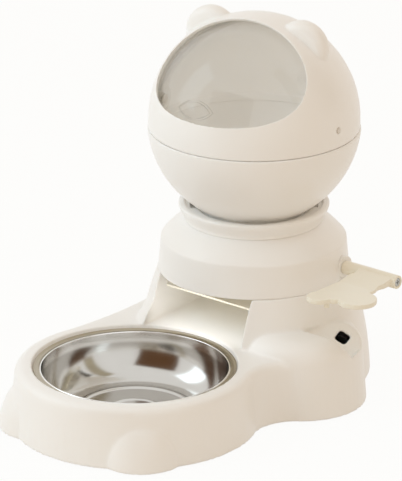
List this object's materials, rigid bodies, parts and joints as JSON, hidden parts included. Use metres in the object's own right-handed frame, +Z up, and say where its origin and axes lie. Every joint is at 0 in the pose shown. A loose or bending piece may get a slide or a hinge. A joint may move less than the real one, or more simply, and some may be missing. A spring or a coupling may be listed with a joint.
{
  "type": "pet feeder",
  "caption": "Gravity pet feeder: round hopper with ears and a swing-up clear visor, on a pedestal with a lever-worked flap over a chute and a steel bowl in a pawed base.",
  "frame": {"origin": "middle of the feeder's bounding box in plan, on the floor under the rubber feet", "axes": "+Z up; the bowl is towards -Y and the hopper towards +Y; the lever is on the +X side"},
  "size_m": [0.2544, 0.3634, 0.3203],
  "materials": {
    "white_plastic": "white ABS, satin gloss",
    "cream_plastic": "cream acetal, satin",
    "pin_plastic": "translucent off-white nylon",
    "smoke_clear": "clear styrene with a faint smoky tint, polished",
    "bowl_steel": "bright drawn stainless steel",
    "screw_steel": "zinc-plated steel",
    "foot_rubber": "grey rubber"
  },
  "bodies": {
    "base": {"base_shell": "white_plastic", "bottom_cover": "white_plastic", "foot_front_left": "foot_rubber", "foot_front_right": "foot_rubber", "foot_side_left": "foot_rubber", "foot_side_right": "foot_rubber", "foot_rear": "foot_rubber", "cover_screw_front": "screw_steel", "cover_screw_left": "screw_steel", "cover_screw_right": "screw_steel", "cover_screw_waist": "screw_steel", "cover_screw_haunch": "screw_steel", "cover_screw_rear": "screw_steel", "steel_bowl": "bowl_steel", "pedestal_cap": "white_plastic", "cap_screw_front_left": "screw_steel", "cap_screw_front_right": "screw_steel", "cap_screw_rear_left": "screw_steel", "cap_screw_rear_right": "screw_steel", "shaft_bush": "white_plastic", "collar_ring": "white_plastic", "collar_screw_front": "screw_steel", "collar_screw_left": "screw_steel", "collar_screw_right": "screw_steel"},
    "gate": {"gate_flap": "cream_plastic", "gate_lever": "cream_plastic", "lever_screw": "screw_steel"},
    "hopper": {"hopper_bowl": "white_plastic", "dome_shell": "white_plastic", "visor_pin_left": "pin_plastic", "visor_pin_right": "pin_plastic", "visor_washer_left": "pin_plastic", "visor_washer_right": "pin_plastic"},
    "visor": {"visor": "smoke_clear"}
  },
  "joints": [
    {"name": "gate_tilt", "type": "hinge", "parent": "base", "child": "gate", "pos_m": [-0.0228, 0.1062, 0.1045], "axis": [1, 0, 0], "range_deg": [-10, 15]},
    {"name": "hopper_twist", "type": "hinge", "parent": "base", "child": "hopper", "pos_m": [-0.0228, 0.0807, 0.1457], "axis": [0, 0, 1], "range_deg": [-10, 25]},
    {"name": "visor_swing", "type": "hinge", "parent": "hopper", "child": "visor", "pos_m": [-0.02037, 0.06691, 0.2363], "axis": [-0.9848, -0.1736, 0], "range_deg": [0, 62]}
  ]
}
